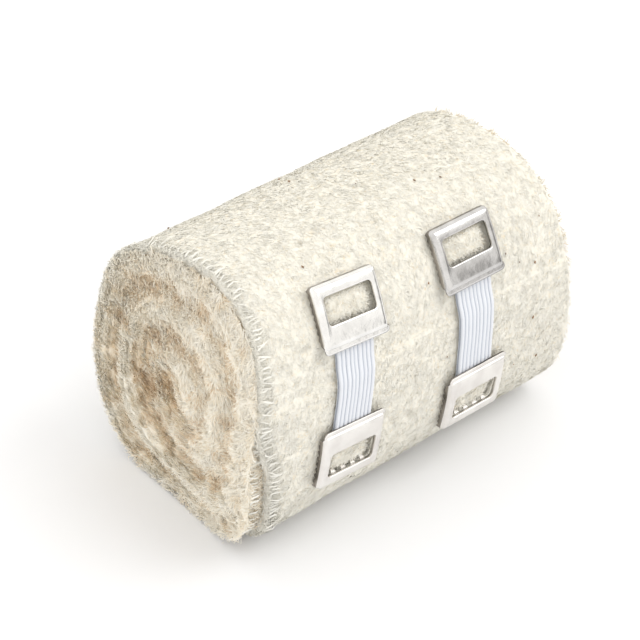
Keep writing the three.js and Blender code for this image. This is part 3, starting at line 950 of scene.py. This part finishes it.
def head_rings():
    """One stamped head as a sheet: over the outside, into the window and back underneath.

    Each ring is a loop and its height, or no height where it is the skirt's toothed foot."""
    under = HEAD_TOP - SHEET
    shoulder = outer_loop(SIDE_LEAN * SHOULDER_LEAN_SHARE, LIP_LENGTH * SHOULDER_LIP_SHARE)
    rings = [(outer_loop(0.0, 0.0), None),
             (outer_loop(SKIRT_INSET, SKIRT_LIP_INSET), HEAD_TOP - SKIRT_DROP),
             (shoulder, HEAD_TOP - SHOULDER_DROP)]
    for turn in ARCH_TURNS:
        angle = math.radians(turn)
        inset = ARCH_WIDTH * (1 - math.cos(angle))
        drop = ARCH_DROP * (1 - math.sin(angle))
        rings.append((outer_loop(SIDE_LEAN + inset, LIP_LENGTH + inset), HEAD_TOP - drop))
    for turn in WINDOW_TURNS:
        angle = math.radians(turn)
        growth = WINDOW_ROLL * (1 - math.cos(angle))
        drop = WINDOW_ROLL * (1 - math.sin(angle))
        rings.append((window_loop(growth), HEAD_TOP - drop))
    rings.append((window_loop(0.0), HEAD_TOP - WINDOW_WALL_DROP))
    rings.append((window_loop(WINDOW_ROLL), under))
    rings.append((outer_loop(DRAWN_WALL + SIDE_LEAN, LIP_LENGTH + DRAWN_WALL), under))
    rings.append((outer_loop(DRAWN_WALL, DRAWN_WALL), None))
    return rings


def clip_head(clip, name, side, material, skirt_shade_material):
    """A stamped head, with its toothed skirt in a darker metal as painted shade."""
    middle = head_middle(clip, side)
    rings = head_rings()
    points = []
    for loop, height in rings:
        heights = skirt_foot(loop) if height is None else np.full(len(loop), height)
        points.append(on_head(clip, middle, side * loop[:, 0], -side * loop[:, 1], heights))
    faces = skin_faces(len(rings), len(rings[0][0]), closed_rows=True)
    node = f"{clip['name']}_{name}"
    piece = mesh_piece(f"{node}_stamped", np.concatenate(points), faces, material)
    piece.data.materials.append(skirt_shade_material)
    slots = np.zeros(len(faces), dtype=np.int32)
    # Painted shade: the skirt's outer wall gets the darker metal.
    slots[:SKIRT_RINGS * len(rings[0][0])] = 1
    piece.data.polygons.foreach_set("material_index", slots)
    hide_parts(node)
    return piece


HOOKS = 4
HOOK_WIDTH = 1.1
HOOK_DROP = 1.5
HOOK_ROOM = 0.6
HOOK_TOP = HEAD_TOP - 0.7
HOOK_START = WINDOW_START - 0.1
HOOK_FACES = ((0, 1, 2), (0, 2, 3), (0, 4, 1), (3, 2, 5), (1, 4, 5), (1, 5, 2), (0, 3, 5), (0, 5, 4))


def clip_hooks(clip, name, side, material):
    """The hooks that the window's metal was bent into: a row of points in the nap."""
    middle = head_middle(clip, side)
    half = HOOK_WIDTH / 2
    wedge = ((-half, 0.0, 0.0), (half, 0.0, 0.0), (half, 0.3, 0.0), (-half, 0.3, 0.0),
             (0.0, 0.75, -HOOK_DROP), (0.0, 0.9, 0.1 - HOOK_DROP))
    points, faces = [], []
    for i in range(HOOKS):
        centre = (i - (HOOKS - 1) / 2) * WINDOW_WIDTH / (HOOKS + HOOK_ROOM)
        base = len(points)
        points += [(centre + x, HOOK_START + y, HOOK_TOP + z) for x, y, z in wedge]
        faces += [tuple(base + k for k in face) for face in HOOK_FACES]
    local = np.array(points)
    placed = on_head(clip, middle, side * local[:, 0], -side * local[:, 1], local[:, 2])
    piece = mesh_piece(f"{clip['name']}_{name}_hooks", placed, faces, material, smooth_shaded=False)
    return piece


PUFF_HEIGHT = 1.25
PUFF_SINK = 0.5
PUFF_MARGIN = 0.2
PUFF_HALF = WINDOW_WIDTH / 2 + PUFF_MARGIN
PUFF_COLUMNS, PUFF_ROWS = 37, 21
PUFF_GRAIN = GRAIN_HEIGHT * 3.0


def puff_height(across, away):
    """The height of the cloth in a window: full in its middle and sunk at its edges."""
    from_middle = (away - WINDOW_START - WINDOW_LENGTH / 2) / (WINDOW_LENGTH / 2 + PUFF_MARGIN)
    swell_across = np.clip(1 - (across / PUFF_HALF) ** 4, 0.0, 1.0)
    swell_away = np.clip(1 - from_middle ** 4, 0.0, 1.0)
    return -PUFF_SINK + (PUFF_HEIGHT + PUFF_SINK) * swell_across * swell_away


def window_puff(clip, name, side, ground, nap):
    """The cloth that swells up through a head's window, with its nap."""
    middle = head_middle(clip, side)
    window_end = WINDOW_START + WINDOW_LENGTH
    across, away = np.meshgrid(np.linspace(-PUFF_HALF, PUFF_HALF, PUFF_COLUMNS),
                               np.linspace(WINDOW_START - PUFF_MARGIN, window_end + PUFF_MARGIN, PUFF_ROWS))
    across, away = across.ravel(), away.ravel()
    placed = on_head(clip, middle, side * across, -side * away, puff_height(across, away))
    placed = placed + (noise_at(placed, GRAIN_SIZE, 3) * PUFF_GRAIN)[:, None] * (0.0, -1.0, 0.3)
    i, j = np.meshgrid(np.arange(PUFF_ROWS - 1), np.arange(PUFF_COLUMNS - 1), indexing="ij")
    corner = (i * PUFF_COLUMNS + j).ravel()
    faces = np.stack((corner, corner + 1, corner + PUFF_COLUMNS + 1, corner + PUFF_COLUMNS), axis=1)
    puff = mesh_piece(f"{clip['name']}_{name}_puff", placed, faces, ground)
    # No painted recess shade on the cloth in the windows.
    add_attribute(puff, "painted_recess_shade", np.zeros(len(placed)))
    puff_fibres(clip, name, side, nap)


def puff_fibres(clip, name, side, nap):
    middle = head_middle(clip, side)
    across = RANDOM.uniform(-PUFF_HALF, PUFF_HALF, WINDOW_FIBRES) * 0.97
    away = WINDOW_START + RANDOM.uniform(0.0, 1.0, WINDOW_FIBRES) * WINDOW_LENGTH
    level = puff_height(across, away)
    roots = on_head(clip, middle, side * across, -side * away, level)
    above = on_head(clip, middle, side * across, -side * away, level + 1.0)
    normals = unit(above - roots)
    turn = RANDOM.uniform(0.0, 2 * math.pi, WINDOW_FIBRES)
    headings = heading_at(turn, ALONG, unit(np.cross(normals, ALONG)))
    piece_name = f"{clip['name']}_{name}_puff_nap"
    strands(piece_name, roots, normals, headings, PUFF_SIZES, even_tones(0.1, 1.0), nap)


# The clips' elastics

RIB_STEPS = 12
CORD_DEPTH = 0.34
UNDER_STEPS = 12
EDGE_SPAN, EDGE_DROP = 0.35, 0.3
ELASTIC_ROWS = 70
PINCH = 0.03
WAVER = 0.02


def elastic_section(clip):
    """The ribbed band's section: how far across and how high each point is, and how far into a groove it
    lies, for its painted shade.
    """
    half = ELASTIC_WIDTH / 2
    across = np.linspace(-half, half, ELASTIC_RIBS * RIB_STEPS + 1)
    drift = 0.35 * np.sin(across * 1.9 + clip["along"]) * (1 - np.abs(across) / half)
    wave = np.abs(np.sin(math.pi * (across + drift * 0.3 + half) / ELASTIC_WIDTH * ELASTIC_RIBS)) ** 0.5
    top = ELASTIC_GAP + ELASTIC_THICKNESS - CORD_DEPTH + CORD_DEPTH * wave
    edge = np.clip((half - np.abs(across)) / EDGE_SPAN, 0.0, 1.0)
    top = top - EDGE_DROP * (1 - np.sqrt(1 - (1 - edge) ** 2))
    under = np.linspace(half, -half, UNDER_STEPS)
    section_across = np.concatenate((across, under))
    section_height = np.concatenate((top, np.full(len(under), ELASTIC_GAP)))
    return section_across, section_height, np.concatenate((1 - wave, np.zeros(len(under))))


def clip_elastic(clip, material):
    across, height, groove = elastic_section(clip)
    reach = clip["elastic"] / 2 + ELASTIC_TUCK
    rows = []
    for down in np.linspace(reach, -reach, ELASTIC_ROWS):
        pinch = 1 - PINCH * math.cos(math.pi * down / (2 * reach))
        waver = WAVER * math.sin(down * 0.9)
        rows.append(on_cloth(clip, across * pinch + waver, down, height))
    faces = skin_faces(ELASTIC_ROWS, len(across))
    piece = mesh_piece(f"{clip['name']}_elastic_band", np.concatenate(rows), faces, material)
    add_attribute(piece, "groove", np.tile(groove, ELASTIC_ROWS))
    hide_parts(f"{clip['name']}_elastic")
    return piece


# Studio

FLOOR_SIZE = 6.0
LIGHT_FROM = Vector((0.45, -0.45, 0.77)).normalized()
FLAG_TOWARDS = Vector((0.74, -0.66, 0.13)).normalized()
FLAG_INNER, FLAG_OUTER, FLAG_LEVEL = 6.0, 18.0, 0.28
STUDIO_LEVELS = (1.27, 1.15)
KEY_STRENGTH = 0.8
KEY_SPREAD = 35.0


def add_floor():
    mesh = bpy.data.meshes.new("floor")
    half = FLOOR_SIZE / 2
    corners = ((-half, -half, 0.0), (half, -half, 0.0), (half, half, 0.0), (-half, half, 0.0))
    mesh.from_pydata(corners, [], [(0, 1, 2, 3)])
    material, _, _, shader = new_material("floor_white")
    shader.inputs["Base Color"].default_value = FLOOR_WHITE
    shader.inputs["Roughness"].default_value = 0.9
    mesh.materials.append(material)
    floor = bpy.data.objects.new("floor", mesh)
    bpy.context.scene.collection.objects.link(floor)


def add_lean(nodes, links, place, direction):
    """How near a direction of the sky lies to a given one, from -1 to 1."""
    lean = nodes.new("ShaderNodeVectorMath")
    lean.operation = "DOT_PRODUCT"
    lean.inputs[1].default_value = direction
    links.new(place.outputs["Generated"], lean.inputs[0])
    return lean.outputs["Value"]


def add_world():
    """A white studio, dimmer on the key light's side, with a dark flag for the metal to mirror."""
    world = bpy.data.worlds.new("studio")
    world.use_nodes = True
    bpy.context.scene.world = world
    nodes, links = world.node_tree.nodes, world.node_tree.links
    background = nodes["Background"]
    place = nodes.new("ShaderNodeTexCoord")
    lean = add_lean(nodes, links, place, LIGHT_FROM)
    level = add_range(nodes, links, lean, (-0.6, 1.0), STUDIO_LEVELS)
    flag = add_lean(nodes, links, place, FLAG_TOWARDS)
    flag_edges = (math.cos(math.radians(FLAG_OUTER)), math.cos(math.radians(FLAG_INNER)))
    dark = add_range(nodes, links, flag, flag_edges, (1.0, FLAG_LEVEL))
    dark.interpolation_type = "SMOOTHSTEP"
    strength = nodes.new("ShaderNodeMath")
    strength.operation = "MULTIPLY"
    links.new(level.outputs["Result"], strength.inputs[0])
    links.new(dark.outputs["Result"], strength.inputs[1])
    links.new(strength.outputs["Value"], background.inputs["Strength"])
    background.inputs["Color"].default_value = STUDIO_WHITE


def add_key():
    light = bpy.data.lights.new("key", "SUN")
    light.energy = KEY_STRENGTH
    light.angle = math.radians(KEY_SPREAD)
    key = bpy.data.objects.new("key", light)
    key.rotation_euler = LIGHT_FROM.to_track_quat("Z", "Y").to_euler()
    bpy.context.scene.collection.objects.link(key)


def add_camera():
    azimuth, elevation = math.radians(CAMERA_AZIMUTH), math.radians(CAMERA_ELEVATION)
    level = math.cos(elevation)
    back = Vector((math.sin(azimuth) * level, -math.cos(azimuth) * level, math.sin(elevation)))
    data = bpy.data.cameras.new("camera")
    data.lens = CAMERA_LENS
    data.sensor_width = 36.0
    data.shift_x = -TARGET_RIGHT_PIXELS / IMAGE_PIXELS
    data.shift_y = -TARGET_UP_PIXELS / IMAGE_PIXELS
    data.clip_start = 0.01
    camera = bpy.data.objects.new("camera", data)
    camera.location = CAMERA_TARGET + back * CAMERA_DISTANCE
    camera.rotation_euler = back.to_track_quat("Z", "Y").to_euler()
    bpy.context.scene.collection.objects.link(camera)
    bpy.context.scene.camera = camera


def dress():
    ground = cloth_material()
    nap = fibre_material("cotton_nap", SIDE_TONES)
    # The ends and the set-back band get the nap's copy with painted warm shade and painted light.
    face_nap = fibre_material("cotton_face_nap_painted_light", FACE_PAINTED_LIGHT_TONES)
    crepe_roll(ground)
    side_fibres(nap)
    flyaway_fibres(nap)
    face_fibres("near_face_nap", FACE_FIBRES, near_end_x, 1.0, 1.0, face_nap)
    face_fibres("far_face_nap", FAR_FIBRES, far_end_x, FAR_END_RELIEF, -1.0, face_nap)
    rim_fibres(nap)
    cut_fibres(nap)
    band_fibres(face_nap)
    selvage_threads(nap)
    seed_flecks()
    # Painted light: the second clip's upper head is grey as painted dark reflection, and the lower heads
    # and hooks are rougher and a little darker as painted shade.
    bright = metal_material("stamped_bright", *BRIGHT_METAL)
    grey = metal_material("stamped_painted_dark_reflection", *PAINTED_DARK_REFLECTION_METAL)
    dull = metal_material("stamped_dull_shaded", *DULL_SHADED_METAL)
    # The skirts' darker metal, painted shade.
    edge = metal_material("stamped_skirt_shade", *SKIRT_SHADE_METAL)
    white = elastic_material()
    for clip, top_metal in zip(CLIPS, (bright, grey)):
        clip_head(clip, "upper_head", -1, top_metal, edge)
        clip_elastic(clip, white)
        clip_head(clip, "lower_head", 1, dull, edge)
        clip_hooks(clip, "lower_head", 1, dull)
        window_puff(clip, "upper_head", -1, ground, nap)
        window_puff(clip, "lower_head", 1, ground, nap)


bpy.context.scene.view_settings.view_transform = "Standard"
add_floor()
add_world()
add_key()
add_camera()
dress()
